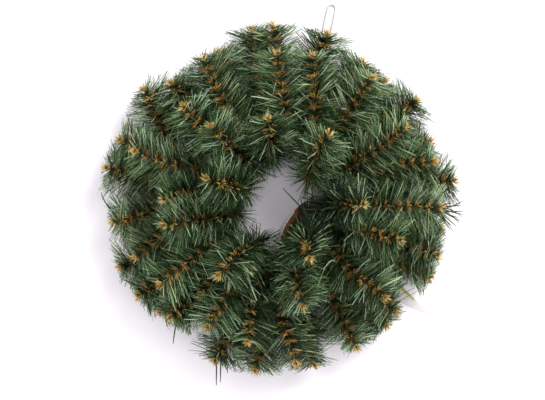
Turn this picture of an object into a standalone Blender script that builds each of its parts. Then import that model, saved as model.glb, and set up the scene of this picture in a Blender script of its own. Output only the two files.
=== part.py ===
"""Artificial spruce wreath, 350 mm across, lying on its back with its face up (+Z).

Wire-stemmed sprigs are bound side by side round a steel ring. An outer row lies low, a middle row climbs
over it, and an inner row rises from the edge of the hole. A cord loop is hitched to the ring, and a card
is tucked in behind. Each sprig's solid is its stem and the dense core of its brush.
"""

import math

import bpy
from mathutils import Vector

MM = 0.001

# Ring of steel wire that carries everything
RING_RADIUS = 55 * MM
RING_WIRE_RADIUS = 1.6 * MM
RING_HEIGHT = 16 * MM
RING_STEPS = 80
RING_SIDES = 8

# Stem of two twisted wires, wound once and a quarter round the ring
STEM_RADIUS = 0.9 * MM
WRAP_RADIUS = RING_WIRE_RADIUS + STEM_RADIUS + 0.7 * MM
WRAP_TURN = math.radians(450)
WRAP_STEPS = 8
WRAP_WIDTH = 2.3 * MM

# Brush of short needles round the stem
CORE_RADIUS = 3.8 * MM
TIP_RADIUS = 1.2 * MM
TIP_FROM = 0.9
SPRIG_ROUNDNESS = 1
# How far along the free stem each cross-section is, and how full the brush is there
SECTIONS = (
    (0.08, 0.0),
    (0.21, 0.0),
    (0.30, 1.0),
    (0.44, 1.0),
    (0.58, 1.0),
    (0.72, 1.0),
    (0.85, 1.0),
    (0.95, 0.8),
    (1.00, 0.0),
)

# Where round the ring wire each row's stem comes away: 90 is its top, 180 its inner side
OUTER_LEAVES = 90
MIDDLE_LEAVES = 135
INNER_LEAVES = 215

# One line a sprig, going round the ring. The middle of the brush: reach from the ring's axis in mm, angle
# in degrees, height in mm; then the tip: reach, angle, height; then how steeply the tip climbs, in degrees.
OUTER = (
    (110, 11, 4.0, 168, 7, 34, 50),
    (110, 22, 4.0, 156, 22, 24, 35),
    (110, 38, 4.0, 163, 37, 38, 50),
    (110, 50, 4.0, 156, 50, 24, 35),
    (110, 61, 4.0, 156, 60, 40, 55),
    (112, 77, 10, 168, 75, 38, 50),
    (112, 93, 4.0, 169, 93, 36, 50),
    (112, 101, 4.0, 171, 100, 32, 45),
    (112, 116, 4.0, 157, 113, 40, 50),
    (112, 131, 4.0, 157, 133, 40, 50),
    (120, 152, 4.0, 173, 141, 38, 50),
    (112, 163, 4.0, 169, 159, 32, 45),
    (112, 170, 4.0, 173, 169, 36, 50),
    (114, 184, 4.0, 165, 187, 38, 50),
    (112, 206, 4.0, 170, 202, 30, 45),
    (112, 215, 4.0, 166, 213, 36, 50),
    (112, 222, 4.0, 160, 222, 30, 45),
    (112, 230, 4.0, 155, 226, 42, 55),
    (112, 254, 4.0, 167, 247, 34, 50),
    (112, 264, 4.0, 165, 261, 34, 50),
    (112, 280, 4.0, 161, 281, 36, 50),
    (106, 298, 6.4, 158, 297, 40, 50),
    (110, 308, 6.4, 157, 310, 34, 50),
    (110, 315, 6.4, 153, 316, 36, 50),
    (110, 332, 6.4, 161, 333, 34, 50),
    (110, 341, 4.0, 159, 341, 40, 50),
    (110, 350, 4.0, 158, 350, 24, 35),
)
MIDDLE = (
    (105, 19, 40, 149, 15, 60, 50),
    (94, 29, 44, 136, 31, 70, 55),
    (102, 54, 42, 144, 54, 68, 65),
    (95, 70, 44, 140, 78.5, 70, 65),
    (95, 89, 44, 140, 92, 70, 65),
    (108, 121, 40, 155, 119, 60, 50),
    (95, 137, 44, 128, 136, 72, 60),
    (105, 161, 40, 147, 161, 62, 50),
    (88, 175, 44, 111, 179, 70, 60),
    (122, 197, 30, 150, 200.5, 48, 45),
    (98, 212, 42, 138, 214, 68, 55),
    (88, 228, 34, 115, 229, 52, 50),
    (95, 241, 42, 136, 239, 70, 55),
    (100, 253, 40, 135, 256, 66, 60),
    (108, 270, 38, 153, 275, 60, 50),
    (92, 315, 42, 131, 317, 72, 55),
    (82, 340, 42, 116, 342, 72, 55),
    (100, 358, 42, 150, 358, 62, 50),
)
INNER = (
    (36, 45, 36, 76, 56, 92, 45),
    (49, 103, 36, 77, 100, 94, 60),
    (42, 130, 34, 96, 133, 88, 35),
    (39, 162, 38, 73, 163, 95, 45),
    (50, 194, 32, 113, 191, 82, 30),
    (49, 236, 34, 89, 229, 90, 40),
    (50, 281, 34, 98, 281, 86, 40),
    (42, 304, 38, 57, 296, 98, 60),
    (50, 358, 36, 74, 358, 98, 80),
)

# Hitch of the hanging loop round the ring wire
HITCH_ANGLE = math.radians(72)
HITCH_LENGTH = 3.6 * MM
HITCH_RADIUS = 3.9 * MM
HITCH_BORE = RING_WIRE_RADIUS + 0.3 * MM
HITCH_SIDES = 16
HITCH_FULL = 0.6
MERGE = 0.01 * MM

# Hanging loop, a cord that goes out along the surface and comes back beside itself
CORD_RADIUS = 0.8 * MM
CORD_STEPS = 2
CORD_ROUNDNESS = 2
CORD_ROUTE_MM = (
    (16.8, 56.4, 13.2),
    (18.6, 61.5, 7.6),
    (20.7, 70.0, 2.4),
    (23.2, 80.0, 0.9),
    (27.0, 100.0, 0.9),
    (31.0, 125.0, 0.9),
    (36.2, 150.0, 0.9),
    (40.9, 171.5, 0.9),
    (44.2, 187.0, 0.9),
    (45.6, 192.6, 0.9),
    (47.3, 195.5, 0.9),
    (50.0, 196.7, 0.9),
    (52.7, 195.2, 0.9),
    (53.4, 192.0, 0.9),
    (52.4, 186.5, 0.9),
    (49.4, 172.0, 0.9),
    (43.4, 150.0, 0.9),
    (36.4, 125.0, 0.9),
    (30.6, 100.0, 0.9),
    (26.2, 80.0, 0.9),
    (23.8, 70.0, 2.4),
    (21.8, 61.2, 7.6),
    (19.8, 55.4, 13.2),
)

# Card tucked in behind: a long rounded pennant, bowed up where it shows in the hole
CARD_APEX = (6.7 * MM, -16.0 * MM)
CARD_TURN = math.radians(-34.5)
CARD_LENGTH = 174 * MM
CARD_ROUND = 64 * MM
CARD_TAPER = math.radians(11)
CARD_THICKNESS = 0.5 * MM
CARD_RISE = 8 * MM
CARD_BOW_LENGTH = 90 * MM
CARD_COLUMNS = 18
CARD_ROWS = 4
# Shares of the length where its first and last cross-sections are, and how they crowd to the round end
CARD_FIRST = 0.012
CARD_LAST = 0.988
CARD_CROWDING = 1.6

# Colours, as red, green and blue
WIRE_GREEN = (0.03, 0.05, 0.035)
NEEDLE_GREEN = (0.10, 0.16, 0.09)
CORD_WHITE = (0.85, 0.84, 0.82)
CARD_BROWN = (0.25, 0.10, 0.05)
SHARP_ANGLE = math.radians(40)


def clear_scene():
    for obj in list(bpy.data.objects):
        bpy.data.objects.remove(obj, do_unlink=True)


def finish(obj, colour, roughness, metallic):
    """Give the object a material of its own, and smooth shading with its sharp edges kept."""
    material = bpy.data.materials.new(obj.name + "_finish")
    material.use_nodes = True
    shader = material.node_tree.nodes["Principled BSDF"]
    shader.inputs["Base Color"].default_value = (*colour, 1)
    shader.inputs["Roughness"].default_value = roughness
    shader.inputs["Metallic"].default_value = metallic
    obj.data.materials.append(material)
    if obj.type == "MESH":
        obj.data.shade_smooth()
        obj.data.set_sharp_from_angle(angle=SHARP_ANGLE)
    return obj


def place(obj, collection, origin):
    collection.objects.link(obj)
    obj.parent = origin
    return obj


def polar(reach, angle, height):
    return Vector((reach * math.cos(angle), reach * math.sin(angle), height))


def hermite(start, start_slope, end, end_slope, t):
    """A point on the smooth curve that leaves start along start_slope and reaches end along end_slope."""
    a = 2 * t**3 - 3 * t**2 + 1
    b = t**3 - 2 * t**2 + t
    c = -2 * t**3 + 3 * t**2
    d = t**3 - t**2
    return a * start + b * start_slope + c * end + d * end_slope


def wrap_route(root, leaves):
    """The stem's turn and a quarter round the ring wire, ending where the free stem leaves it."""
    points = []
    for step in range(WRAP_STEPS + 1):
        done = step / WRAP_STEPS
        round_wire = math.radians(leaves) + WRAP_TURN * (1 - done)
        along = (done - 0.5) * WRAP_WIDTH / RING_RADIUS
        reach = RING_RADIUS + WRAP_RADIUS * math.cos(round_wire)
        height = RING_HEIGHT + WRAP_RADIUS * math.sin(round_wire)
        points.append(polar(reach, root + along, height))
    return points


def free_route(sprig, root, leaves, start):
    """The free stem from the ring to the tip, as a function of how far along it is."""
    mid_reach, mid_angle, mid_height, tip_reach, tip_angle, tip_height, climb = sprig
    middle = polar(mid_reach * MM, math.radians(mid_angle), mid_height * MM)
    tip = polar(tip_reach * MM, math.radians(tip_angle), tip_height * MM)
    leaving = math.radians(leaves)
    first = (middle - start).length
    second = (tip - middle).length
    start_slope = polar(math.sin(leaving), root, -math.cos(leaving)) * first
    outward = tip - start
    if leaves == OUTER_LEAVES:
        outward.z = 0
    middle_slope = outward.normalized() * (first + second) / 2
    rise = math.radians(climb)
    tip_slope = polar(math.cos(rise), math.radians(tip_angle), math.sin(rise)) * second
    share = first / (first + second)

    def at(along):
        if along < share:
            return hermite(start, start_slope, middle, middle_slope, along / share)
        return hermite(middle, middle_slope, tip, tip_slope, (along - share) / (1 - share))

    return at


def add_tube(name, points, radii, sides_resolution):
    """A tube of changing radius through the points, with its ends filled."""
    curve = bpy.data.curves.new(name, "CURVE")
    curve.dimensions = "3D"
    curve.bevel_depth = 1.0
    curve.bevel_resolution = sides_resolution
    curve.use_fill_caps = True
    spline = curve.splines.new("POLY")
    spline.points.add(len(points) - 1)
    for point, place_of, radius in zip(spline.points, points, radii):
        point.co = (*place_of, 1)
        point.radius = radius
    return bpy.data.objects.new(name, curve)


def add_sprig(name, sprig, root, leaves):
    points = wrap_route(root, leaves)
    radii = [STEM_RADIUS] * len(points)
    route = free_route(sprig, root, leaves, points[-1])
    for along, fullness in SECTIONS:
        points.append(route(along))
        thin = TIP_RADIUS if along > TIP_FROM else STEM_RADIUS
        radii.append(thin + fullness * (CORE_RADIUS - thin))
    return add_tube(name, points, radii, SPRIG_ROUNDNESS)


def add_ring():
    bpy.ops.mesh.primitive_torus_add(
        major_segments=RING_STEPS,
        minor_segments=RING_SIDES,
        major_radius=RING_RADIUS,
        minor_radius=RING_WIRE_RADIUS,
        location=(0, 0, 0),
    )
    ring = bpy.context.object
    ring.name = "ring_frame"
    ring.location = (0, 0, RING_HEIGHT)
    for collection in list(ring.users_collection):
        collection.objects.unlink(ring)
    return ring


def add_hitch():
    """The knot as a short sleeve round the ring wire, turned from its wall's outline."""
    half = HITCH_LENGTH / 2
    bevel = half * (1 - HITCH_FULL)
    mesh = bpy.data.meshes.new("loop_hitch")
    outline = (
        (HITCH_RADIUS, -half * HITCH_FULL),
        (HITCH_RADIUS, half * HITCH_FULL),
        (HITCH_RADIUS - bevel, half),
        (HITCH_BORE, half),
        (HITCH_BORE, -half),
        (HITCH_RADIUS - bevel, -half),
    )
    corners = [(reach, 0, height) for reach, height in reversed(outline)]
    edges = [(i, (i + 1) % len(corners)) for i in range(len(corners))]
    mesh.from_pydata(corners, edges, [])
    hitch = bpy.data.objects.new("loop_hitch", mesh)
    turning = hitch.modifiers.new("turn", "SCREW")
    turning.steps = HITCH_SIDES
    turning.render_steps = HITCH_SIDES
    turning.use_merge_vertices = True
    turning.merge_threshold = MERGE
    hitch.location = polar(RING_RADIUS, HITCH_ANGLE, RING_HEIGHT)
    hitch.rotation_euler = (math.radians(90), 0, HITCH_ANGLE)
    return hitch


def catmull(points, steps):
    """A smooth curve through the points, sampled evenly between each pair."""
    ends = [2 * points[0] - points[1], *points, 2 * points[-1] - points[-2]]
    curve = []
    for i in range(1, len(ends) - 2):
        before, start, end, after = ends[i - 1 : i + 3]
        for step in range(steps):
            curve.append(hermite(start, (end - before) / 2, end, (after - start) / 2, step / steps))
    return [*curve, points[-1]]


def add_cord():
    points = [Vector(point) * MM for point in CORD_ROUTE_MM]
    line = catmull(points, CORD_STEPS)
    return add_tube("hanging_loop", line, [CORD_RADIUS] * len(line), CORD_ROUNDNESS)


def card_half_width(along):
    """Half the card's width: a round end in the hole, then straight sides that meet in a point."""
    tapered = (CARD_LENGTH - along) * math.tan(CARD_TAPER)
    if along > CARD_ROUND:
        return tapered
    rounded = math.sqrt(max(0.0, CARD_ROUND**2 - (CARD_ROUND - along) ** 2))
    return min(rounded, tapered)


def add_card():
    bpy.ops.mesh.primitive_grid_add(
        x_subdivisions=CARD_COLUMNS, y_subdivisions=CARD_ROWS, size=2, location=(0, 0, 0)
    )
    card = bpy.context.object
    card.name = "card_tag"
    for vertex in card.data.vertices:
        share = (vertex.co.x + 1) / 2
        along = CARD_LENGTH * (CARD_FIRST + (CARD_LAST - CARD_FIRST) * share**CARD_CROWDING)
        lifted = max(0.0, 1 - along / CARD_BOW_LENGTH) ** 2
        vertex.co = (along, vertex.co.y * card_half_width(along), CARD_RISE * lifted)
    wall = card.modifiers.new("thickness", "SOLIDIFY")
    wall.thickness = CARD_THICKNESS
    wall.offset = 1
    card.location = (*CARD_APEX, 0)
    card.rotation_euler = (0, 0, CARD_TURN)
    for collection in list(card.users_collection):
        collection.objects.unlink(card)
    return card


def rooted_sprigs():
    """Every sprig and the hitch, in order of angle, each with an equal share of the ring to be bound on."""
    rows = (
        ("outer_sprig", OUTER, OUTER_LEAVES),
        ("middle_sprig", MIDDLE, MIDDLE_LEAVES),
        ("inner_sprig", INNER, INNER_LEAVES),
    )
    bound = [(math.degrees(HITCH_ANGLE), None, None, None)]
    for row, sprigs, leaves in rows:
        for number, sprig in enumerate(sprigs, 1):
            bound.append((sprig[1], f"{row}_{number:02d}", sprig, leaves))
    bound.sort(key=lambda item: item[0])
    share = math.tau / len(bound)
    hitch_at = [item[1] for item in bound].index(None)
    first = HITCH_ANGLE - hitch_at * share
    return [
        (name, sprig, first + number * share, leaves)
        for number, (_, name, sprig, leaves) in enumerate(bound)
        if name
    ]


def lowest_and_highest(objects):
    """The corners of the box round the objects as they are shown."""
    shown = bpy.context.evaluated_depsgraph_get()
    corners = []
    for obj in objects:
        evaluated = obj.evaluated_get(shown)
        mesh = evaluated.to_mesh()
        corners += [evaluated.matrix_world @ vertex.co for vertex in mesh.vertices]
        evaluated.to_mesh_clear()
    low = Vector([min(corner[i] for corner in corners) for i in range(3)])
    high = Vector([max(corner[i] for corner in corners) for i in range(3)])
    return low, high


def main():
    clear_scene()
    wreath = bpy.data.collections.new("spruce_wreath")
    bpy.context.scene.collection.children.link(wreath)
    origin = bpy.data.objects.new("wreath_origin", None)
    wreath.objects.link(origin)

    pieces = [finish(place(add_ring(), wreath, origin), WIRE_GREEN, 0.5, 0.8)]
    for name, sprig, root, leaves in rooted_sprigs():
        obj = place(add_sprig(name, sprig, root, leaves), wreath, origin)
        pieces.append(finish(obj, NEEDLE_GREEN, 0.7, 0.0))
    pieces.append(finish(place(add_hitch(), wreath, origin), CORD_WHITE, 0.9, 0.0))
    pieces.append(finish(place(add_card(), wreath, origin), CARD_BROWN, 0.8, 0.0))
    low, high = lowest_and_highest(pieces)
    origin.location = (-(low.x + high.x) / 2, -(low.y + high.y) / 2, -low.z)
    finish(place(add_cord(), wreath, origin), CORD_WHITE, 0.9, 0.0)


main()
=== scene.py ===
import math

import bpy
import numpy as np
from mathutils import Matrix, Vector


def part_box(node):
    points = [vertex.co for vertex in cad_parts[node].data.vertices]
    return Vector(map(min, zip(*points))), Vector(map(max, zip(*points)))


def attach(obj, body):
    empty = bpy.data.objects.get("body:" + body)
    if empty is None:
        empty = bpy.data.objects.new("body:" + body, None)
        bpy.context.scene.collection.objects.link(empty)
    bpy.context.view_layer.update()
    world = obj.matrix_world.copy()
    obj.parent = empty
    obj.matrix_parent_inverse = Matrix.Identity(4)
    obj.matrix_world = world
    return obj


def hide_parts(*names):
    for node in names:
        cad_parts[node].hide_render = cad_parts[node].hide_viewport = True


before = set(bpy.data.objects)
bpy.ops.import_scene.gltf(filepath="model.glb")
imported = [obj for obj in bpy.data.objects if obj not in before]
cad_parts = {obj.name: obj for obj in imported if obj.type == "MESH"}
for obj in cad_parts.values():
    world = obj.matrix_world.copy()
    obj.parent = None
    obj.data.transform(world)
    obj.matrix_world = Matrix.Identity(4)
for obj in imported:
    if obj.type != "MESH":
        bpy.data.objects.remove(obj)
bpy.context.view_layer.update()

# Place and camera
# The wreath lies on its back on a pale table. The camera hangs straight above it and looks down, a little
# to the left of its middle, as in the photograph.
MM = 0.001
FACE_HEIGHT = 45 * MM
FRAME_WIDTH = 523 * MM
CAMERA_HEIGHT = 1.15
CAMERA_ASIDE = (-9.1 * MM, 1.9 * MM)
SENSOR = 36.0
ring_low, ring_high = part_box("ring_frame")
CENTRE = (ring_low + ring_high) / 2
CENTRE.z = 0

camera_data = bpy.data.cameras.new("camera")
camera_data.sensor_width = SENSOR
camera_data.lens = SENSOR * (CAMERA_HEIGHT - FACE_HEIGHT) / FRAME_WIDTH
camera = bpy.data.objects.new("camera", camera_data)
camera.location = (CENTRE.x + CAMERA_ASIDE[0], CENTRE.y + CAMERA_ASIDE[1], CAMERA_HEIGHT)
bpy.context.scene.collection.objects.link(camera)
bpy.context.scene.camera = camera
bpy.context.scene.view_settings.view_transform = "Standard"

# Table
# A plain table top under the wreath, painted a matt white that is slightly lilac. The light is soft and
# comes from all round, a little more of it from the upper right.
TABLE_SIZE = 6.0
TABLE_WHITE = (0.87, 0.82, 0.86)
ROOM_WHITE = (0.97, 0.98, 1.0)
ROOM_STRENGTH = 0.97
LIGHT_AIM = (0, 0, 0.03)
SPECULAR_LEVEL = 0.25


def new_material(name, roughness):
    """An empty finish with its shader, ready for the nodes that colour it."""
    material = bpy.data.materials.new(name)
    material.use_nodes = True
    shader = material.node_tree.nodes["Principled BSDF"]
    shader.inputs["Roughness"].default_value = roughness
    shader.inputs["Specular IOR Level"].default_value = SPECULAR_LEVEL
    return material, material.node_tree, shader


def deselect():
    if bpy.context.object and bpy.context.object.mode != "OBJECT":
        bpy.ops.object.mode_set(mode="OBJECT")
    bpy.ops.object.select_all(action="DESELECT")


def soft_light(name, place, size, power):
    """A round lamp that looks at the wreath."""
    data = bpy.data.lights.new(name, "AREA")
    data.shape = "DISK"
    data.size = size
    data.energy = power
    light = bpy.data.objects.new(name, data)
    light.location = place
    light.rotation_euler = (Vector(LIGHT_AIM) - Vector(place)).to_track_quat("-Z", "Y").to_euler()
    bpy.context.scene.collection.objects.link(light)


deselect()
bpy.ops.mesh.primitive_plane_add(size=TABLE_SIZE, location=(0, 0, 0))
table = bpy.context.object
table.name = "table_top"
table_finish, _, table_shader = new_material("table_white", roughness=0.8)
table_shader.inputs["Base Color"].default_value = (*TABLE_WHITE, 1)
table.data.materials.append(table_finish)

world = bpy.data.worlds.new("studio")
world.use_nodes = True
world.node_tree.nodes["Background"].inputs["Color"].default_value = (*ROOM_WHITE, 1)
world.node_tree.nodes["Background"].inputs["Strength"].default_value = ROOM_STRENGTH
bpy.context.scene.world = world

soft_light("key_light", (0.85, 1.0, 1.15), size=0.9, power=28)
soft_light("left_light", (-1.3, 0.65, 0.9), size=0.8, power=6)
soft_light("low_light", (-0.65, -1.3, 0.9), size=0.8, power=4.5)
soft_light("right_light", (1.3, -0.65, 0.9), size=0.8, power=6)

# Hanging loop
# An off-white cord of three twisted yarns, hitched to the ring. It runs out under the sprigs along the
# table and shows as a narrow loop past the rim.
CORD_RADIUS = 0.8 * MM
YARNS = 3
YARN_RADIUS = 0.48 * MM
YARN_OFFSET = 0.34 * MM
YARN_PITCH = 6 * MM
YARN_SIDES = 5
CORD_STEP = 0.7 * MM
CORD_NORMAL = (1, 0, 0.3)
ROUTE_STEPS = 8
COTTON_FIBRES = 900
COTTON_SHADES = ((0.3, (0.48, 0.48, 0.49)), (0.7, (0.56, 0.56, 0.56)))
CORD_ROUTE_MM = (
    (16.8, 56.4, 13.2),
    (18.6, 61.5, 7.6),
    (20.7, 70.0, 2.4),
    (23.2, 80.0, 0.9),
    (27.0, 100.0, 0.9),
    (31.0, 125.0, 0.9),
    (36.2, 150.0, 0.9),
    (40.9, 171.5, 0.9),
    (44.2, 187.0, 0.9),
    (45.6, 192.6, 0.9),
    (47.3, 195.5, 0.9),
    (50.0, 196.7, 0.9),
    (52.7, 195.2, 0.9),
    (53.4, 192.0, 0.9),
    (52.4, 186.5, 0.9),
    (49.4, 172.0, 0.9),
    (43.4, 150.0, 0.9),
    (36.4, 125.0, 0.9),
    (30.6, 100.0, 0.9),
    (26.2, 80.0, 0.9),
    (23.8, 70.0, 2.4),
    (21.8, 61.2, 7.6),
    (19.8, 55.4, 13.2),
)


def noise(tree, scale):
    """Small irregular spots that stay where they are on the piece."""
    place = tree.nodes.new("ShaderNodeTexCoord")
    spots = tree.nodes.new("ShaderNodeTexNoise")
    spots.inputs["Scale"].default_value = scale
    tree.links.new(place.outputs["Object"], spots.inputs["Vector"])
    return spots.outputs["Fac"]


def ramp(tree, factor, stops):
    """Colours that follow a factor from 0 to 1."""
    node = tree.nodes.new("ShaderNodeValToRGB")
    elements = node.color_ramp.elements
    while len(elements) < len(stops):
        elements.new(0.5)
    for element, (at, colour) in zip(elements, stops):
        element.position = at
        element.color = (*colour, 1)
    tree.links.new(factor, node.inputs["Fac"])
    return node.outputs["Color"]


def hermite(start, start_slope, end, end_slope, t):
    """A point on the smooth curve that leaves start along start_slope and reaches end along end_slope."""
    a = 2 * t**3 - 3 * t**2 + 1
    b = t**3 - 2 * t**2 + t
    c = -2 * t**3 + 3 * t**2
    d = t**3 - t**2
    return a * start + b * start_slope + c * end + d * end_slope


def smooth_line(points, steps):
    """A smooth curve through the points, as the cord lies."""
    points = [np.array(point, float) for point in points]
    ends = [2 * points[0] - points[1], *points, 2 * points[-1] - points[-2]]
    line = []
    for i in range(1, len(ends) - 2):
        before, start, end, after = ends[i - 1 : i + 3]
        for step in range(steps):
            line.append(hermite(start, (end - before) / 2, end, (after - start) / 2, step / steps))
    return np.array([*line, points[-1]])


def distances(points):
    """How far along the line each of its points is."""
    return np.concatenate([[0], np.cumsum(np.linalg.norm(np.diff(points, axis=0), axis=1))])


def evenly(points, step):
    """The points of a line again, with the same distance between them."""
    points = np.array(points, float)
    along = distances(points)
    at = np.linspace(0, along[-1], max(2, round(along[-1] / step) + 1))
    return np.stack([np.interp(at, along, points[:, axis]) for axis in range(3)], axis=1)


def frames_along(points, first_normal):
    """Tangents, and normals carried along the line with no twist of their own."""
    tangents = np.gradient(points, axis=0)
    tangents /= np.linalg.norm(tangents, axis=1)[:, None]
    normals = np.empty_like(points)
    normal = np.array(first_normal, float)
    for i, tangent in enumerate(tangents):
        normal = normal - tangent * normal.dot(tangent)
        normal /= np.linalg.norm(normal)
        normals[i] = normal
    return tangents, normals, np.cross(tangents, normals)


def twisted_strands(points, first_normal, strands, offset, radius, sides, pitch):
    """Closed tubes laid side by side and twisted together round a line: their corners and faces."""
    _, normals, binormals = frames_along(points, first_normal)
    along = distances(points)
    count = len(points)
    corners, faces = [], []
    for strand in range(strands):
        turn = math.tau * (along / pitch + strand / strands)
        out = normals * np.cos(turn)[:, None] + binormals * np.sin(turn)[:, None]
        aside = -normals * np.sin(turn)[:, None] + binormals * np.cos(turn)[:, None]
        middle = points + out * offset
        first = strand * sides * count
        for side in range(sides):
            angle = math.tau * side / sides
            corners.append(middle + (out * math.cos(angle) + aside * math.sin(angle)) * radius)
        for side in range(sides):
            a = first + side * count
            b = first + (side + 1) % sides * count
            for i in range(count - 1):
                faces.append((a + i, b + i, b + i + 1, a + i + 1))
        faces.append(tuple(first + side * count for side in reversed(range(sides))))
        faces.append(tuple(first + side * count + count - 1 for side in range(sides)))
    return np.concatenate(corners), faces


def add_mesh(name, corners, faces, materials):
    mesh = bpy.data.meshes.new(name)
    mesh.from_pydata([tuple(corner) for corner in corners], [], faces)
    mesh.update()
    for material in materials:
        mesh.materials.append(material)
    mesh.shade_smooth()
    obj = bpy.data.objects.new(name, mesh)
    bpy.context.scene.collection.objects.link(obj)
    return obj


cord_finish, cord_tree, cord_shader = new_material("cord_cotton", roughness=0.85)
cord_colour = ramp(cord_tree, noise(cord_tree, COTTON_FIBRES), COTTON_SHADES)
cord_tree.links.new(cord_colour, cord_shader.inputs["Base Color"])

cord_line = smooth_line(CORD_ROUTE_MM, ROUTE_STEPS) * MM + np.array(CENTRE)
cord_points = evenly(cord_line, CORD_STEP)
cord_mesh = twisted_strands(
    cord_points, CORD_NORMAL, YARNS, YARN_OFFSET, YARN_RADIUS, YARN_SIDES, YARN_PITCH
)
hanging_loop = add_mesh("cord_loop", *cord_mesh, [cord_finish])
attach(hanging_loop, "root")
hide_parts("hanging_loop")

# Ring
# A hoop of green-coated steel wire. The bare end of every sprig's stem is wound round it, which holds the
# wreath together and hides most of the ring.
RING_RADIUS = 55 * MM
RING_WIRE_RADIUS = 1.6 * MM
RING_HEIGHT = (ring_low.z + ring_high.z) / 2
RING_SEGMENTS = 160
RING_WIRE_SIDES = 12
COATING_SPECKS = 300
COATING_GREENS = ((0.35, (0.012, 0.03, 0.018)), (0.7, (0.03, 0.06, 0.035)))

deselect()
bpy.ops.mesh.primitive_torus_add(
    major_segments=RING_SEGMENTS,
    minor_segments=RING_WIRE_SIDES,
    major_radius=RING_RADIUS,
    minor_radius=RING_WIRE_RADIUS,
    location=(CENTRE.x, CENTRE.y, RING_HEIGHT),
)
ring = bpy.context.object
ring.name = "ring_wire"
bpy.ops.object.transform_apply(location=True, rotation=True, scale=True)
ring.data.shade_smooth()
wire_finish, wire_tree, wire_shader = new_material("wire_coating", roughness=0.45)
wire_colour = ramp(wire_tree, noise(wire_tree, COATING_SPECKS), COATING_GREENS)
wire_tree.links.new(wire_colour, wire_shader.inputs["Base Color"])
ring.data.materials.append(wire_finish)
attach(ring, "root")
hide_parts("ring_frame")

# Card
# A blank card of thin board, tucked in behind the ring. Its round end shows in the hole, brown inside a pale
# rim and darker brown further in, which is painted shade under the needles, and its pale point, with an
# olive edge, past the lower right rim of the wreath.
CARD_APEX_MM = (6.7, -16.0)
CARD_TURN = math.radians(-34.5)
CARD_LENGTH = 174 * MM
CARD_ROUND = 64 * MM
CARD_TAPER = math.tan(math.radians(11))
CARD_NARROWEST = 0.2 * MM
CARD_THICKNESS = 0.5 * MM
CARD_GAP = 0.02 * MM
CARD_RISE = 8 * MM
CARD_FLAT_FROM = 90 * MM
CARD_STEPS = 96
CARD_COLUMNS = 12
CARD_CROWDING = 1.6
GRID_THICKNESS = 0.02
POINT_FROM = 0.6
OLIVE_SIDE = 0.6
OLIVE_TO = 0.86
RIM_SCALE = 20 * MM
RIM_NARROWS_PAST = 8 * MM
BROWN = (0.21, 0.062, 0.015)
PAINTED_SHADE_BROWN = (0.026, 0.012, 0.007)
OLIVE = (0.40, 0.40, 0.13)
LILAC = (0.68, 0.63, 0.65)
PALE_EDGE = (0.78, 0.74, 0.62)
# the brown fades inward to dark brown, painted shade under the needles
RIM_COLOURS = ((0.0, PALE_EDGE), (0.06, PALE_EDGE), (0.08, BROWN), (0.2, BROWN), (0.36, PAINTED_SHADE_BROWN))
RIM_INSIDE = ((0.6, (0, 0, 0)), (0.62, (1, 1, 1)))
BOARD_GRAIN = 400
BOARD_SHADES = ((0.3, (0.88, 0.88, 0.88)), (0.7, (1, 1, 1)))


def multiplied(tree, first, second):
    mix = tree.nodes.new("ShaderNodeMix")
    mix.data_type = "RGBA"
    mix.blend_type = "MULTIPLY"
    mix.inputs["Factor"].default_value = 1
    tree.links.new(first, mix.inputs["A"])
    tree.links.new(second, mix.inputs["B"])
    return mix.outputs["Result"]


def stored_colour(tree, name):
    """The colour that a mesh holds for its corners under this name."""
    node = tree.nodes.new("ShaderNodeAttribute")
    node.attribute_name = name
    return node


def store_colours(piece, name, colours):
    layer = piece.data.color_attributes.new(name, "FLOAT_COLOR", "POINT")
    layer.data.foreach_set("color", colours)


deselect()
bpy.ops.mesh.primitive_grid_add(
    x_subdivisions=CARD_STEPS, y_subdivisions=CARD_COLUMNS, size=1, location=(0, 0, 0)
)
card = bpy.context.object
card.name = "card"
bpy.ops.object.modifier_add(type="SOLIDIFY")
card.modifiers["Solidify"].thickness = GRID_THICKNESS
card.modifiers["Solidify"].offset = 0
bpy.ops.object.modifier_apply(modifier="Solidify")
card_colours = []
card_rims = []
for vertex in card.data.vertices:
    along = (vertex.co.x + 0.5) ** CARD_CROWDING * CARD_LENGTH
    arc = math.sqrt(max(0, 2 * CARD_ROUND * along - along**2)) if along < CARD_ROUND else CARD_ROUND
    half_width = max(CARD_NARROWEST, min(arc, (CARD_LENGTH - along) * CARD_TAPER))
    side = 2 * vertex.co.y
    lifted = CARD_RISE * max(0, 1 - along / CARD_FLAT_FROM) ** 2
    face = CARD_THICKNESS if vertex.co.z > 0 else 0
    aside = side * half_width
    vertex.co = (
        CENTRE.x + CARD_APEX_MM[0] * MM + along * math.cos(CARD_TURN) - aside * math.sin(CARD_TURN),
        CENTRE.y + CARD_APEX_MM[1] * MM + along * math.sin(CARD_TURN) + aside * math.cos(CARD_TURN),
        lifted + face + CARD_GAP,
    )
    if along > POINT_FROM * CARD_LENGTH:
        colour = OLIVE if side > OLIVE_SIDE and along < OLIVE_TO * CARD_LENGTH else LILAC
    else:
        # away from its point the card is painted dark brown: painted shade under the needles
        colour = PAINTED_SHADE_BROWN
    card_colours += [*colour, 1]
    # how far in from the round end, which grows faster on the side where the rim is narrower
    rim = CARD_ROUND - math.hypot(CARD_ROUND - along, aside) + max(0, aside - RIM_NARROWS_PAST)
    rim = min(rim, RIM_SCALE) if along < CARD_ROUND else RIM_SCALE
    card_rims += [rim / RIM_SCALE] * 3 + [1]
store_colours(card, "print_and_shade", card_colours)
store_colours(card, "rim", card_rims)

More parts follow.
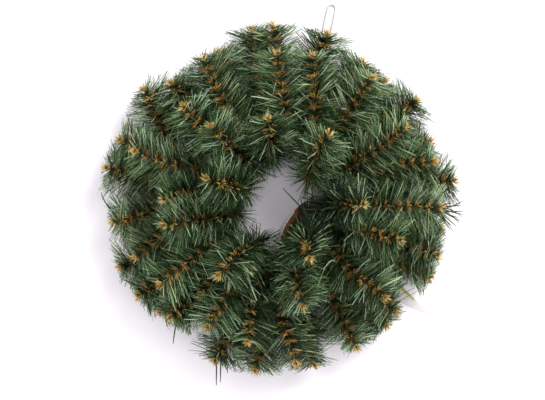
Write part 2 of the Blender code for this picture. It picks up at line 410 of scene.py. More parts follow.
card_finish, card_tree, card_shader = new_material("card_stock", roughness=0.6)
card_rim = stored_colour(card_tree, "rim").outputs["Fac"]
card_blend = card_tree.nodes.new("ShaderNodeMix")
card_blend.data_type = "RGBA"
card_tree.links.new(ramp(card_tree, card_rim, RIM_INSIDE), card_blend.inputs["Factor"])
card_tree.links.new(ramp(card_tree, card_rim, RIM_COLOURS), card_blend.inputs["A"])
card_tree.links.new(stored_colour(card_tree, "print_and_shade").outputs["Color"], card_blend.inputs["B"])
card_mottle = ramp(card_tree, noise(card_tree, BOARD_GRAIN), BOARD_SHADES)
card_colour = multiplied(card_tree, card_blend.outputs["Result"], card_mottle)
card_tree.links.new(card_colour, card_shader.inputs["Base Color"])
card.data.materials.append(card_finish)
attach(card, "root")
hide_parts("card_tag")

# Hitch
# The loop's cord wound three times round the ring wire and pulled tight. It holds the loop at its place on
# the ring.
HITCH_ANGLE = math.radians(72)
HITCH_TURNS = 3
HITCH_WIDTH = 3 * MM
HITCH_REACH = RING_WIRE_RADIUS + CORD_RADIUS
HITCH_NORMAL = (0, 0.2, 1)
TURN_STEPS = 24

hitch_points = []
for step in range(HITCH_TURNS * TURN_STEPS + 1):
    turn = math.tau * step / TURN_STEPS
    angle = HITCH_ANGLE + (step / (HITCH_TURNS * TURN_STEPS) - 0.5) * HITCH_WIDTH / RING_RADIUS
    reach = RING_RADIUS + HITCH_REACH * math.cos(turn)
    hitch_points.append(
        (
            CENTRE.x + reach * math.cos(angle),
            CENTRE.y + reach * math.sin(angle),
            RING_HEIGHT + HITCH_REACH * math.sin(turn),
        )
    )
hitch_mesh = twisted_strands(
    np.array(hitch_points), HITCH_NORMAL, YARNS, YARN_OFFSET, YARN_RADIUS, YARN_SIDES, YARN_PITCH
)
hitch = add_mesh("cord_hitch", *hitch_mesh, [cord_finish])
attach(hitch, "root")
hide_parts("loop_hitch")

# Sprigs
# Each is a length of cut film, green and gold-brown, gripped between two twisted wires and brushed open.
# Its bare end is wound round the ring. The outer row lies low, the middle and inner rows turn to the front.
SEED = 4
NEARLY_NONE = 1e-6

# One line a sprig, going round the ring. The middle of the brush: reach from the ring's axis in mm, angle
# in degrees, height in mm; then the tip: reach, angle, height; then how steeply the tip climbs, in degrees.
OUTER = (
    (110, 11, 4.0, 168, 7, 34, 50),
    (110, 22, 4.0, 156, 22, 24, 35),
    (110, 38, 4.0, 163, 37, 38, 50),
    (110, 50, 4.0, 156, 50, 24, 35),
    (110, 61, 4.0, 156, 60, 40, 55),
    (112, 77, 10, 168, 75, 38, 50),
    (112, 93, 4.0, 169, 93, 36, 50),
    (112, 101, 4.0, 171, 100, 32, 45),
    (112, 116, 4.0, 157, 113, 40, 50),
    (112, 131, 4.0, 157, 133, 40, 50),
    (120, 152, 4.0, 173, 141, 38, 50),
    (112, 163, 4.0, 169, 159, 32, 45),
    (112, 170, 4.0, 173, 169, 36, 50),
    (114, 184, 4.0, 165, 187, 38, 50),
    (112, 206, 4.0, 170, 202, 30, 45),
    (112, 215, 4.0, 166, 213, 36, 50),
    (112, 222, 4.0, 160, 222, 30, 45),
    (112, 230, 4.0, 155, 226, 42, 55),
    (112, 254, 4.0, 167, 247, 34, 50),
    (112, 264, 4.0, 165, 261, 34, 50),
    (112, 280, 4.0, 161, 281, 36, 50),
    (106, 298, 6.4, 158, 297, 40, 50),
    (110, 308, 6.4, 157, 310, 34, 50),
    (110, 315, 6.4, 153, 316, 36, 50),
    (110, 332, 6.4, 161, 333, 34, 50),
    (110, 341, 4.0, 159, 341, 40, 50),
    (110, 350, 4.0, 158, 350, 24, 35),
)
MIDDLE = (
    (105, 19, 40, 149, 15, 60, 50),
    (94, 29, 44, 136, 31, 70, 55),
    (102, 54, 42, 144, 54, 68, 65),
    (95, 70, 44, 140, 78.5, 70, 65),
    (95, 89, 44, 140, 92, 70, 65),
    (108, 121, 40, 155, 119, 60, 50),
    (95, 137, 44, 128, 136, 72, 60),
    (105, 161, 40, 147, 161, 62, 50),
    (88, 175, 44, 111, 179, 70, 60),
    (122, 197, 30, 150, 200.5, 48, 45),
    (98, 212, 42, 138, 214, 68, 55),
    (88, 228, 34, 115, 229, 52, 50),
    (95, 241, 42, 136, 239, 70, 55),
    (100, 253, 40, 135, 256, 66, 60),
    (108, 270, 38, 153, 275, 60, 50),
    (92, 315, 42, 131, 317, 72, 55),
    (82, 340, 42, 116, 342, 72, 55),
    (100, 358, 42, 150, 358, 62, 50),
)
INNER = (
    (36, 45, 36, 76, 56, 92, 45),
    (49, 103, 36, 77, 100, 94, 60),
    (42, 130, 34, 96, 133, 88, 35),
    (39, 162, 38, 73, 163, 95, 45),
    (50, 194, 32, 113, 191, 82, 30),
    (49, 236, 34, 89, 229, 90, 40),
    (50, 281, 34, 98, 281, 86, 40),
    (42, 304, 38, 57, 296, 98, 60),
    (50, 358, 36, 74, 358, 98, 80),
)

# What the rows differ in: the side of the ring wire, in degrees, that the stem leaves from; how many green
# needles it has, their width and how far they pass its tip; how dark their film is painted, as the power of
# its tint, which is painted shade that darkens the inner row and leaves the outer row paler; and how many
# gold needles a whorl has and their length
OUTER_ROW = {
    "name": "outer_sprig",
    "sprigs": OUTER,
    "leaves": 90,
    "needles": 1360,
    "width": 1,
    "past_tip": 4.5 * MM,
    "power": 0.8,
    "gold": 72,
    "gold_length": 1.15,
}
MIDDLE_ROW = {
    "name": "middle_sprig",
    "sprigs": MIDDLE,
    "leaves": 135,
    "needles": 920,
    "width": 1,
    "past_tip": 9 * MM,
    "power": 0.95,
    "gold": 72,
    "gold_length": 1,
}
INNER_ROW = {
    "name": "inner_sprig",
    "sprigs": INNER,
    "leaves": 215,
    "needles": 1240,
    "width": 0.72,
    "past_tip": 9 * MM,
    "power": 1.9,
    "gold": 46,
    "gold_length": 1,
}

# Sprigs whose green film is painted paler or darker than the rest: painted light and painted shade for the
# light that falls on each sprig
PAINTED_LIT_SPRIGS = (
    "outer_sprig_04", "outer_sprig_07", "outer_sprig_12", "outer_sprig_22", "outer_sprig_25",
    "middle_sprig_02", "middle_sprig_03", "middle_sprig_05", "middle_sprig_08", "middle_sprig_18",
    "inner_sprig_01", "inner_sprig_03", "inner_sprig_05", "inner_sprig_07",
)
PAINTED_SHADED_SPRIGS = (
    "outer_sprig_19", "outer_sprig_21", "outer_sprig_23",
    "middle_sprig_09", "middle_sprig_12", "middle_sprig_14", "middle_sprig_15", "middle_sprig_16",
    "inner_sprig_08", "inner_sprig_09",
)
PAINTED_LIGHT_POWER = 0.6
PAINTED_SHADE_POWER = 1.8

NEEDLE_PROFILE = (1.15, 0.5, 1)
WIDTH_SPREAD = (0.75, 1.15)
FLOOR_GAP = 0.3 * MM


def film_needle(name, rings):
    """One needle of cut film standing on its root, three-sided and flat, that narrows from ring to ring."""
    deselect()
    bpy.ops.mesh.primitive_circle_add(vertices=3, radius=0.5, fill_type="NGON", location=(0, 0, 0))
    needle = bpy.context.object
    needle.name = name
    bpy.ops.object.mode_set(mode="EDIT")
    bpy.ops.mesh.select_all(action="SELECT")
    bpy.ops.transform.resize(value=NEEDLE_PROFILE)
    bpy.ops.mesh.select_mode(type="FACE")
    for rise, spread in rings:
        bpy.ops.mesh.extrude_region_move(TRANSFORM_OT_translate={"value": (0, 0, rise)})
        bpy.ops.transform.resize(value=(spread, spread, 1))
    bpy.ops.mesh.select_all(action="SELECT")
    bpy.ops.mesh.normals_make_consistent(inside=False)
    bpy.ops.object.mode_set(mode="OBJECT")
    corners = np.array([vertex.co for vertex in needle.data.vertices])
    corners[:, :2] -= corners[corners[:, 2] == 0][:, :2].mean(0)
    faces = [tuple(face.vertices) for face in needle.data.polygons]
    bpy.data.objects.remove(needle)
    return corners, faces


green_needle = film_needle("green_needle", ((1.0, 0.45),))
gold_needle = film_needle("gold_needle", ((1.0, 0.5),))
stray_needle = film_needle("stray_needle", ((0.2, 1.0), (0.2, 1.0), (0.2, 0.95), (0.2, 0.85), (0.2, 0.6)))


def unit(vectors):
    return vectors / np.linalg.norm(vectors, axis=1)[:, None]


def copies(needle, roots, heading, facing, lengths, widths, bends):
    """One copy of a needle on each root: all corners and faces, and how far along its needle a corner is."""
    corners, faces = needle
    across = unit(np.cross(facing, heading))
    flat = np.cross(heading, across)
    x, y, z = (corners[:, axis][None, :, None] for axis in range(3))
    placed = (
        roots[:, None]
        + across[:, None] * x * widths[:, None, None]
        + flat[:, None] * y * widths[:, None, None]
        + heading[:, None] * z * lengths[:, None, None]
        + bends[:, None] * z**2 * lengths[:, None, None]
    )
    heights = corners[:, 2]
    for level in np.unique(heights):
        ring_of = heights == level
        sunk = np.maximum(0, FLOOR_GAP - placed[:, ring_of, 2].min(1))
        placed[:, ring_of, 2] += sunk[:, None]
    count = len(corners)
    all_faces = [tuple(i * count + corner for corner in face) for i in range(len(roots)) for face in faces]
    return placed.reshape(-1, 3), all_faces, np.tile(heights, len(roots))


def film(needle, heights, tint, hue):
    """What the finish reads on each corner of the copies: tint, place along the needle, and hue."""
    corners = len(needle[0])
    columns = [np.repeat(tint, corners), heights, np.repeat(hue, corners), np.ones(len(heights))]
    return np.stack(columns, axis=1)


# The stem: its two wires, and its turns round the ring wire
STEM_WIRES = 2
STEM_WIRE_RADIUS = 0.45 * MM
STEM_WIRE_SIDES = 4
STEM_PITCH = 6 * MM
STEM_NORMAL = (0.1, 0.2, 1)
STEM_STEP = 1.4 * MM
BRUSH_STEP = 1 * MM
LOWER_POINTS = 20
UPPER_POINTS = 25
WRAP_RADIUS = RING_WIRE_RADIUS + 2 * STEM_WIRE_RADIUS
WRAP_TURN = math.radians(450)
WRAP_WIDTH = 2.3 * MM


def polar(reach, angle, height):
    return np.array((reach * math.cos(angle), reach * math.sin(angle), height))


def stem_line(sprig, root, row):
    """The stem in two parts: its turns round the ring, and its free length from there to the tip."""
    leaving = math.radians(row["leaves"])
    wound = []
    for step in range(TURN_STEPS + 1):
        done = step / TURN_STEPS
        round_wire = leaving + WRAP_TURN * (1 - done)
        along = (done - 0.5) * WRAP_WIDTH / RING_RADIUS
        reach = RING_RADIUS + WRAP_RADIUS * math.cos(round_wire)
        wound.append(polar(reach, root + along, RING_HEIGHT + WRAP_RADIUS * math.sin(round_wire)))
    mid_reach, mid_angle, mid_height, tip_reach, tip_angle, tip_height, climb = sprig
    start = wound[-1]
    middle = polar(mid_reach * MM, math.radians(mid_angle), mid_height * MM)
    tip = polar(tip_reach * MM, math.radians(tip_angle), tip_height * MM)
    first = np.linalg.norm(middle - start)
    second = np.linalg.norm(tip - middle)
    start_slope = polar(math.sin(leaving), root, -math.cos(leaving)) * first
    outward = tip - start
    if row is OUTER_ROW:
        outward[2] = 0
    middle_slope = outward / np.linalg.norm(outward) * (first + second) / 2
    rise = math.radians(climb)
    tip_slope = polar(math.cos(rise), math.radians(tip_angle), math.sin(rise)) * second
    lower = np.linspace(0, 1, LOWER_POINTS)
    upper = np.linspace(0, 1, UPPER_POINTS)[1:]
    free = [hermite(start, start_slope, middle, middle_slope, t) for t in lower]
    free += [hermite(middle, middle_slope, tip, tip_slope, t) for t in upper]
    return np.array(wound), np.array(free)


def at_distance(line, values, distance):
    """Values that belong to the points of a line, read at distances along it."""
    along = distances(line)
    return np.stack([np.interp(distance, along, values[:, axis]) for axis in range(3)], axis=1)


def grip(free, frames, distance):
    """Where needles leave the stem, and the directions forward, to the front and to the side there."""
    directions = [unit(at_distance(free, values, distance)) for values in frames]
    return at_distance(free, free, distance), *directions


# Green needles, in the small parallel combs that the film was cut in. They lean forward from straight out,
# less so at the foot of the brush, and are cut shorter at the tip. Few grow on the side that faces front.
NEEDLE_LENGTH = 32 * MM
NEEDLE_WIDTH = 1.2 * MM
LENGTH_SPREAD = (0.75, 1.05)
FRONT_SHORTER = 0.25
COMB_NEEDLES = 5
COMB_STEP = 0.7 * MM
COMB_TURN = math.radians(137.5)
COMB_TURN_SPREAD = 0.3
COMB_LEAN_SPREAD = math.radians(12)
COMB_BEND_SPREAD = 0.02
COMB_TINT_SPREAD = 0.1
TO_SIDES = 0.3
INNER_SIDES_RISE = 2
INNER_SIDES_START = 0.6
ALL_ROUND = 0.2
NEEDLE_TURN_SPREAD = math.radians(10)
NEEDLE_LEAN = math.radians(70)
NEEDLE_LEAN_SPREAD = math.radians(4)
LEAN_FORWARD = math.radians(8)
FOOT_LEAN = math.radians(25)
FOOT_STRETCH = 20 * MM
NEEDLE_BEND = 0.05
FACING_SPREAD = 0.5
TIP_TRIM = 10 * MM
TIP_TRIM_POWER = 0.8
TIP_NEEDLE = 5 * MM
TIP_LEAN = 0.62
TIP_LEAN_POWER = 0.5
TIP_THINNED = 9 * MM
TIP_LEAST = 0.45
FRONT_FROM = 0.55
FRONT_SHARE = 0.2
SIDE_FROM = -0.35
SIDE_SHARE = 0.74
INNER_FRONT_SHARE = 0.6
INNER_FRONT_STRETCH = 50 * MM
INNER_FRONT_START = 0.4
# The film is painted darker towards the foot of the brush and paler towards its tip: painted shade and
# painted light
FOOT_PAINTED_SHADE_POWER = 1.3
TIPWARD_PAINTED_LIGHT = 0.55
MIDDLE_HUE = 0.5
HUE_SPREAD = 0.25

# Where green needles are cut back: at the hole, an oval that more of them reach into over the card, past the
# tip, above the highest point, and in the gaps between sprigs at the rim, whose centre and radius are in mm
HOLE_MIDDLE = np.array((-3.0, -1.5)) * MM
HOLE_HALF = np.array((29.0, 35.5)) * MM
HOLE_EDGE = 0.98
INTO_HOLE = 0.55
INTO_HOLE_POWER = 2
OVER_CARD = 0.8
OVER_CARD_LEAST = 0.1
OVER_CARD_POWER = 4
CARD_SIDE = np.array((math.cos(CARD_TURN), math.sin(CARD_TURN)))
HIGH_ROOT = 60 * MM
HIGH_ROOT_START = 0.4
HIGH_ROOT_BACK = 0.2
HOLE_LEAST = 0.2
CUT_AWAY = 0.25
PAST_LEAST = 0.5 * MM
PAST_POWER = 1.5
PAST_CUT_LEAST = 0.15
HIGHEST = 109 * MM
RIM_GAPS_MM = ((124, -93, 10), (50, -147, 10), (-84, -143, 7), (-161, -44, 5))
GAP_CUT = 0.55


def cut_back(draw, row, tip, spine, heading, lengths):
    """The lengths that are left of the needles, and what share of each the hole leaves it."""
    count = len(lengths)
    ends = spine + heading * lengths[:, None]
    reach = np.linalg.norm((ends[:, :2] - HOLE_MIDDLE) / HOLE_HALF, axis=1)
    near = np.linalg.norm((spine[:, :2] - HOLE_MIDDLE) / HOLE_HALF, axis=1)
    over_card = np.clip(unit(ends[:, :2] - HOLE_MIDDLE) @ CARD_SIDE, 0, 1) ** OVER_CARD_POWER
    limit = HOLE_EDGE - INTO_HOLE * draw.uniform(0, 1, count) ** INTO_HOLE_POWER
    limit -= OVER_CARD * over_card * draw.uniform(OVER_CARD_LEAST, 1, count)
    limit += HIGH_ROOT_BACK * np.clip(spine[:, 2] / HIGH_ROOT - HIGH_ROOT_START, 0, 1)
    left = np.clip((near - limit) / np.maximum(near - reach, NEARLY_NONE), HOLE_LEAST, 1)
    hole_share = np.where(reach < limit, left, 1)
    lengths = lengths * hole_share
    reach = np.hypot(ends[:, 0], ends[:, 1])
    near = np.hypot(spine[:, 0], spine[:, 1])
    past_tip = PAST_LEAST + row["past_tip"] * draw.uniform(0, 1, count) ** PAST_POWER
    limit = math.hypot(tip[0], tip[1]) + past_tip
    left = np.clip((limit - near) / np.maximum(reach - near, NEARLY_NONE), PAST_CUT_LEAST, 1)
    lengths = lengths * np.where(reach > limit, left, 1)
    lengths *= np.clip((HIGHEST - spine[:, 2]) / np.maximum(ends[:, 2] - spine[:, 2], NEARLY_NONE), 0, 1)
    for x, y, radius in RIM_GAPS_MM:
        inside = np.hypot(ends[:, 0] - x * MM, ends[:, 1] - y * MM) < radius * MM
        lengths = np.where(inside, GAP_CUT * lengths, lengths)
    return lengths, hole_share


def green_needles(draw, node, row, free, frames, length):
    """The long green needles of one sprig: their mesh and their film."""
    combs = row["needles"] // COMB_NEEDLES
    comb_at = (np.arange(combs) + draw.uniform(0, 1, combs)) / combs * length
    comb_turn = np.arange(combs) * COMB_TURN + draw.uniform(-COMB_TURN_SPREAD, COMB_TURN_SPREAD, combs)
    to_sides = np.full(combs, TO_SIDES)
    if row is INNER_ROW:
        to_sides = TO_SIDES * np.clip(comb_at / length * INNER_SIDES_RISE - INNER_SIDES_START, 0, 1)
    comb_turn = comb_turn - to_sides * np.sin(2 * comb_turn)
    comb_lean = draw.normal(0, COMB_LEAN_SPREAD, combs)
    comb_bend = draw.normal(0, COMB_BEND_SPREAD, (combs, 2))
    comb = np.repeat(np.arange(combs), COMB_NEEDLES)
    within = np.tile(np.arange(COMB_NEEDLES), combs) - COMB_NEEDLES / 2
    count = len(comb)
    distance = np.clip(comb_at[comb] + within * COMB_STEP, 0, length)
    from_tip = length - distance

    turn = comb_turn[comb] + draw.normal(0, NEEDLE_TURN_SPREAD, count)
    to_front = np.sin(turn)
    trim = np.clip(from_tip / TIP_TRIM, 0, 1)
    lean = NEEDLE_LEAN - LEAN_FORWARD * distance / length + comb_lean[comb]
    lean += FOOT_LEAN * np.clip(1 - distance / FOOT_STRETCH, 0, 1)
    lean += draw.normal(0, NEEDLE_LEAN_SPREAD, count)
    lean *= TIP_LEAN + (1 - TIP_LEAN) * trim**TIP_LEAN_POWER
    lengths = NEEDLE_LENGTH * draw.uniform(*LENGTH_SPREAD, count)
    lengths *= 1 - FRONT_SHORTER * np.clip(to_front, 0, 1)
    lengths = TIP_NEEDLE + (lengths - TIP_NEEDLE) * trim**TIP_TRIM_POWER
    spine, forward, front, side = grip(free, frames, distance)
    out = side * np.cos(turn)[:, None] + front * to_front[:, None]
    aside = -side * to_front[:, None] + front * np.cos(turn)[:, None]
    heading = unit(out * np.sin(lean)[:, None] + forward * np.cos(lean)[:, None])
    bends = forward * (comb_bend[comb, 0] + NEEDLE_BEND)[:, None] + aside * comb_bend[comb, 1][:, None]
    lengths, hole_share = cut_back(draw, row, free[-1], spine, heading, lengths)

    front_share = np.full(count, FRONT_SHARE)
    if row is INNER_ROW:
        front_share += INNER_FRONT_SHARE * np.clip(from_tip / INNER_FRONT_STRETCH - INNER_FRONT_START, 0, 1)
    share = np.where(to_front > FRONT_FROM, front_share, np.where(to_front > SIDE_FROM, SIDE_SHARE, 1))
    share = np.where((to_sides < ALL_ROUND)[comb], SIDE_SHARE, share)
    keep = draw.uniform(0, 1, count) < share * np.clip(from_tip / TIP_THINNED, TIP_LEAST, 1)
    keep &= hole_share > CUT_AWAY
    facing = unit(forward + draw.normal(0, FACING_SPREAD, (count, 3)))
    widths = NEEDLE_WIDTH * draw.uniform(*WIDTH_SPREAD, count) * row["width"]
    corners, faces, heights = copies(
        green_needle, spine[keep], heading[keep], facing[keep], lengths[keep], widths[keep], bends[keep]
    )

    tint = COMB_TINT_SPREAD * draw.normal(0, 1, combs)[comb] + draw.uniform(0, 1, count)
    # painted light on the lit sprigs and painted shade on the shaded ones, on top of the row's painted shade
    power = row["power"] * (PAINTED_LIGHT_POWER if node in PAINTED_LIT_SPRIGS else PAINTED_SHADE_POWER if node in PAINTED_SHADED_SPRIGS else 1)
    # painted shade towards the foot of the brush, painted light towards its tip
    power = power * (FOOT_PAINTED_SHADE_POWER - TIPWARD_PAINTED_LIGHT * (1 - from_tip / length))
    tint = np.clip(tint, 0, 1) ** power
    hue = np.clip(MIDDLE_HUE + HUE_SPREAD * draw.normal(0, 1, count), 0, 1)
    return corners, faces, film(green_needle, heights, tint[keep], hue[keep])


# Long needles that stand out from their sprig: root, a point they pass and end, in mm, and how pale they
# are, the palest being painted highlights
STRAYS = {
    "outer_sprig_19": (
        ((-63, -140, 20), (-64, -161, 19), (-64.5, -181, 14), 0.35),
        ((-60, -138, 18), (-60, -159, 18), (-60.6, -178, 12), 0.30),
        ((-55, -138, 18), (-54, -155, 18), (-53.4, -169, 14), 0.50),
        ((-58, -138, 16), (-57.3, -150, 16), (-56.9, -160, 13), 0.30),
    ),
    "outer_sprig_18": (((-100, -106, 24), (-104, -123, 24), (-106.6, -139, 20), 0.35),),
    "middle_sprig_18": (
        ((142, -8, 52), (158, -5, 55), (172, 1, 55), 0.55),
        ((143, -8, 52), (159, -9, 54), (173, -8.6, 52), 0.50),
        ((146, -5, 58), (160, -9, 56), (173, -12, 48), 0.45),
        ((145, -5, 58), (158, -12, 56), (170, -18, 48), 0.35),
        ((143, -5, 57), (155, -14, 55), (167, -23, 46), 0.55),
        ((141, -5, 56), (152, -15, 54), (162, -27, 44), 0.40),
        ((138, -5, 56), (148, -17, 54), (156, -31, 44), 0.50),
        ((147, -5, 58), (160, -7, 54), (174, -15, 42), 0.30),
        ((144, -5, 57), (157, -10, 52), (171, -20, 40), 0.25),
        ((140, -5, 56), (153, -13, 50), (165, -28, 38), 0.35),
        ((136, -5, 55), (147, -16, 50), (158, -33, 38), 0.45),
        ((146, -4, 58), (159, -4, 57), (171, -3, 50), 0.50),
        ((142, -5, 57), (156, -11, 58), (168, -15, 54), 0.60),
        ((139, -5, 56), (151, -14, 57), (161, -22, 52), 0.30),
    ),
    "outer_sprig_14": (((-160, -14, 28), (-170, -3, 30), (-176, 9.7, 30), 0.35),),
    "inner_sprig_08": (
        ((33, -21, 50), (17, -4, 62), (0.3, 13.2, 70), 0.25),
        ((33, -30, 52), (24, -14, 62), (17, 3, 70), 0.20),
        ((30, -36, 50), (16, -27, 60), (3, -20, 66), 0.45),
        ((30, -38, 46), (20, -26, 56), (12, -13, 62), 0.30),
        ((31, -36, 46), (26, -22, 55), (20, -8, 60), 0.25),
        ((28, -40, 46), (17, -34, 58), (6, -29, 62), 0.35),
        ((31, -34, 48), (24, -26, 58), (15, -19, 66), 0.50),
        ((33, -34, 46), (30, -22, 54), (26, -11, 58), 0.20),
        ((26, -40, 50), (18, -31, 60), (9, -24, 64), 0.30),
    ),
    "inner_sprig_09": (
        ((46, -3, 46), (31, 1, 56), (17, 5, 60), 0.20),
        ((46, -5, 46), (32, -3, 54), (18, -1, 58), 0.15),
        ((45, -7, 46), (32, -7, 55), (19, -7, 60), 0.30),
        ((44, -8, 48), (33, -11, 57), (22, -13, 62), 0.25),
        ((46, -2, 44), (33, 5, 52), (21, 10, 56), 0.20),
        ((44, -9, 46), (35, -14, 56), (26, -19, 64), 0.35),
    ),
    "inner_sprig_06": (
        ((-28, -42, 50), (-22, -34, 64), (-16, -26, 75), 0.20),
        ((-34.6, -63, 62), (-29, -78, 78), (-23.5, -91, 88), 0.90),
    ),
    "middle_sprig_05": (
        ((-5.8, 95, 48), (-17.5, 98, 62), (-29.2, 99, 70), 0.97),
        ((-8.6, 100, 60), (-7.5, 106, 72), (-5.8, 111, 80), 0.95),
    ),
    "inner_sprig_01": (((39.4, 54.6, 66), (28.3, 53.6, 82), (15.4, 59.2, 92), 0.93),),
    "inner_sprig_07": (((51, -56, 70), (41, -58, 84), (31.8, -81, 90), 0.93),),
}
STRAY_WIDTH = 1.4 * MM
STRAY_FACING = (0.3, 0.2, 1.0)


def stray_needles(node):
    """The needles that stand out from one sprig, each bent through the point it passes: mesh and film."""
    starts, passes, tips = (np.array([stray[i] for stray in STRAYS[node]]) * MM for i in range(3))
    pale = np.array([stray[3] for stray in STRAYS[node]])
    count = len(pale)
    straight = 4 * (passes - starts) - (tips - starts)
    lengths = np.linalg.norm(straight, axis=1)
    bends = (tips - starts - straight) / lengths[:, None]
    facing = np.tile(STRAY_FACING, (count, 1))
    widths = np.full(count, STRAY_WIDTH)
    corners, faces, heights = copies(stray_needle, starts, unit(straight), facing, lengths, widths, bends)
    return corners, faces, film(stray_needle, heights, pale, np.full(count, MIDDLE_HUE))


# Gold needles, in a whorl round the stem at every turn of its second, narrow film. The whorl at the tip is
# closed further and a little shorter.
GOLD_LENGTH = 8.2 * MM
GOLD_LENGTH_SPREAD = (0.6, 1.12)
GOLD_WIDTH = 0.62 * MM
GOLD_PITCH = 10.4 * MM
GOLD_FROM_TIP = 3.2 * MM
WHORL_SHIFT = 0.8 * MM
WHORL_TILT = 1.1 * MM
GOLD_SCATTER = 0.8 * MM
GOLD_TURN_SPREAD = 0.25
GOLD_LEAN = math.radians(62)
GOLD_LEAN_SPREAD = math.radians(12)
TIP_GOLD_LEAN = 0.6
TIP_GOLD_LENGTH = 0.9
GOLD_BEND = 0.05
GOLD_BEND_SPREAD = 0.08
GOLD_FACING_SPREAD = 0.3
# The gold is painted darker towards the foot of the stem, deeper in the wreath, and paler towards the tip:
# painted shade
GOLD_FOOT_PAINTED_SHADE = 0.32
GOLD_TIPWARD_PAINTED_LIGHT = 0.42
GOLD_TINT_SPREAD = 0.27
GOLD_HUE_SPREAD = (0.2, 0.8)


def gold_needles(draw, row, free, frames, length):
    """The short gold needles of one sprig: their mesh and their film."""
    whorls = int(length / GOLD_PITCH)
    whorl_at = length - GOLD_FROM_TIP - np.arange(whorls) * GOLD_PITCH
    whorl_at += draw.uniform(-WHORL_SHIFT, WHORL_SHIFT, whorls)
    whorl_tilt = draw.uniform(0, math.tau, whorls)
    whorl = np.repeat(np.arange(whorls), row["gold"])
    count = len(whorl)
    turn = np.tile(np.arange(row["gold"]), whorls) * math.tau / row["gold"]
    turn += draw.normal(0, GOLD_TURN_SPREAD, count)
    shift = np.sin(turn + whorl_tilt[whorl]) * WHORL_TILT + draw.normal(0, GOLD_SCATTER, count)
    distance = np.clip(whorl_at[whorl] + shift, 0, length)
    lean = GOLD_LEAN + draw.normal(0, GOLD_LEAN_SPREAD, count)
    lean *= np.where(whorl == 0, TIP_GOLD_LEAN, 1)
    spine, forward, front, side = grip(free, frames, distance)
    out = side * np.cos(turn)[:, None] + front * np.sin(turn)[:, None]
    heading = unit(out * np.sin(lean)[:, None] + forward * np.cos(lean)[:, None])
    lengths = GOLD_LENGTH * draw.uniform(*GOLD_LENGTH_SPREAD, count)
    lengths *= np.where(whorl == 0, TIP_GOLD_LENGTH, row["gold_length"])
    widths = GOLD_WIDTH * draw.uniform(*WIDTH_SPREAD, count)
    bends = forward * draw.normal(GOLD_BEND, GOLD_BEND_SPREAD, count)[:, None]
    facing = unit(forward + draw.normal(0, GOLD_FACING_SPREAD, (count, 3)))
    corners, faces, heights = copies(gold_needle, spine, heading, facing, lengths, widths, bends)
    # painted shade: whorls lower on the stem are darker
    tint = GOLD_FOOT_PAINTED_SHADE + GOLD_TIPWARD_PAINTED_LIGHT * distance / length + GOLD_TINT_SPREAD * draw.normal(0, 1, count)
    hue = draw.uniform(*GOLD_HUE_SPREAD, count)
    return corners, faces, film(gold_needle, heights, np.clip(tint, 0, 1), hue)


# The film's colours from dark to pale; the green's darkest stops are painted shade between the needles and
# its palest are painted highlights on the film. Then the painted shade that darkens each needle towards its
# root, and the hues that its needles vary between
# beside the film's own spread of tone, the darkest greens are painted shade and the palest are painted
# highlights
GREENS_SHADE_TO_HIGHLIGHT = (
    (0.0, (0.002, 0.008, 0.001)),
    (0.35, (0.012, 0.036, 0.004)),
    (0.62, (0.050, 0.104, 0.024)),
    (0.82, (0.168, 0.256, 0.110)),
    (1.0, (0.46, 0.57, 0.39)),
)
GREEN_HUES = ((1.15, 1.0, 0.75), (0.80, 1.0, 1.15))
GREEN_ROOT_SHADE = 0.33
GOLDS = (
    (0.0, (0.12, 0.034, 0.006)),
    (0.35, (0.34, 0.135, 0.020)),
    (0.7, (0.62, 0.34, 0.075)),
    (1.0, (0.86, 0.66, 0.28)),
)
GOLD_HUES = ((1.05, 0.90, 0.7), (0.92, 1.08, 1.0))
GOLD_ROOT_SHADE = 0.5
ROOT_SHADE_TO = 0.6


def needle_finish(name, roughness, stops, root, hues):
    """Film whose lightness and hue differ from needle to needle, with painted shade that darkens it towards
    its root.
    """
    material, tree, shader = new_material(name, roughness)
    parts = tree.nodes.new("ShaderNodeSeparateColor")
    tree.links.new(stored_colour(tree, "tint").outputs["Color"], parts.inputs["Color"])
    colour = ramp(tree, parts.outputs["Red"], stops)
    # painted shade: the needle is darkened towards its root, where it crowds round the stem
    shade = ramp(tree, parts.outputs["Green"], ((0.0, (root, root, root)), (ROOT_SHADE_TO, (1, 1, 1))))
    hue = ramp(tree, parts.outputs["Blue"], ((0.0, hues[0]), (1.0, hues[1])))
    tree.links.new(multiplied(tree, multiplied(tree, colour, shade), hue), shader.inputs["Base Color"])
    return material


green_finish = needle_finish("film_green", 0.38, stops=GREENS_SHADE_TO_HIGHLIGHT, root=GREEN_ROOT_SHADE, hues=GREEN_HUES)
gold_finish = needle_finish("film_gold", 0.5, stops=GOLDS, root=GOLD_ROOT_SHADE, hues=GOLD_HUES)


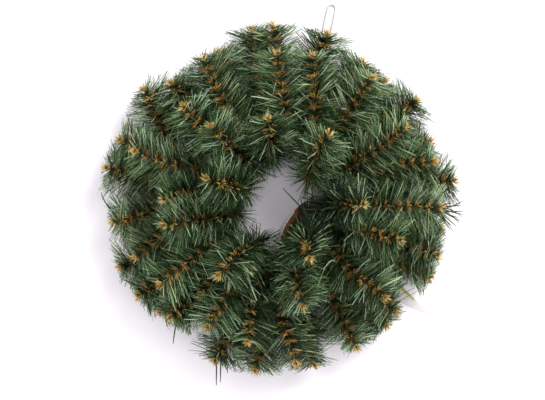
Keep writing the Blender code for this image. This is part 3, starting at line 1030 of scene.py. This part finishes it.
def make_sprig(name, node, sprig, root, row, number):
    """One sprig: its long green needles, the strays among them, its whorls of gold ones, and its stem."""
    draw = np.random.RandomState(SEED * 1000 + number)
    wound, free = stem_line(sprig, root, row)
    free = evenly(free, BRUSH_STEP)
    length = float(np.linalg.norm(np.diff(free, axis=0), axis=1).sum())
    # an inner sprig stands so steeply that its front is the side towards the hole
    frames = frames_along(free, -polar(1, root, 0) if row is INNER_ROW else (0, 0, 1))

    parts = [(*green_needles(draw, node, row, free, frames, length), green_finish)]
    if node in STRAYS:
        parts.append((*stray_needles(node), green_finish))
    parts.append((*gold_needles(draw, row, free, frames, length), gold_finish))
    whole = evenly(np.concatenate([wound[:-1], free]), STEM_STEP)
    stem_corners, stem_faces = twisted_strands(
        whole, STEM_NORMAL, STEM_WIRES, STEM_WIRE_RADIUS, STEM_WIRE_RADIUS, STEM_WIRE_SIDES, STEM_PITCH
    )
    parts.append((stem_corners, stem_faces, np.ones((len(stem_corners), 4)), wire_finish))

    finishes = [green_finish, gold_finish, wire_finish]
    faces, slots = [], []
    first = 0
    for part_corners, part_faces, _, finish in parts:
        faces += [tuple(first + corner for corner in face) for face in part_faces]
        slots += [finishes.index(finish)] * len(part_faces)
        first += len(part_corners)
    corners = np.concatenate([part[0] for part in parts]) + np.array(CENTRE)
    piece = add_mesh(name, corners, faces, finishes)
    piece.data.polygons.foreach_set("material_index", slots)
    store_colours(piece, "tint", np.concatenate([part[2] for part in parts]).astype(np.float32).ravel())
    return piece


# The roots stand evenly round the ring, in the order of the brushes' middles, with one place for the hitch
bound = [(math.degrees(HITCH_ANGLE), None, None, None)]
for row in (OUTER_ROW, MIDDLE_ROW, INNER_ROW):
    for number, sprig in enumerate(row["sprigs"], 1):
        bound.append((sprig[1], f"{row['name']}_{number:02d}", sprig, row))
bound.sort(key=lambda item: item[0])
root_step = math.tau / len(bound)
hitch_at = [item[1] for item in bound].index(None)
for number, (_, node, sprig, row) in enumerate(bound):
    if node:
        root = HITCH_ANGLE + (number - hitch_at) * root_step
        piece = make_sprig(node.replace("sprig", "brush"), node, sprig, root, row, number)
        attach(piece, "root")
        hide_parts(node)
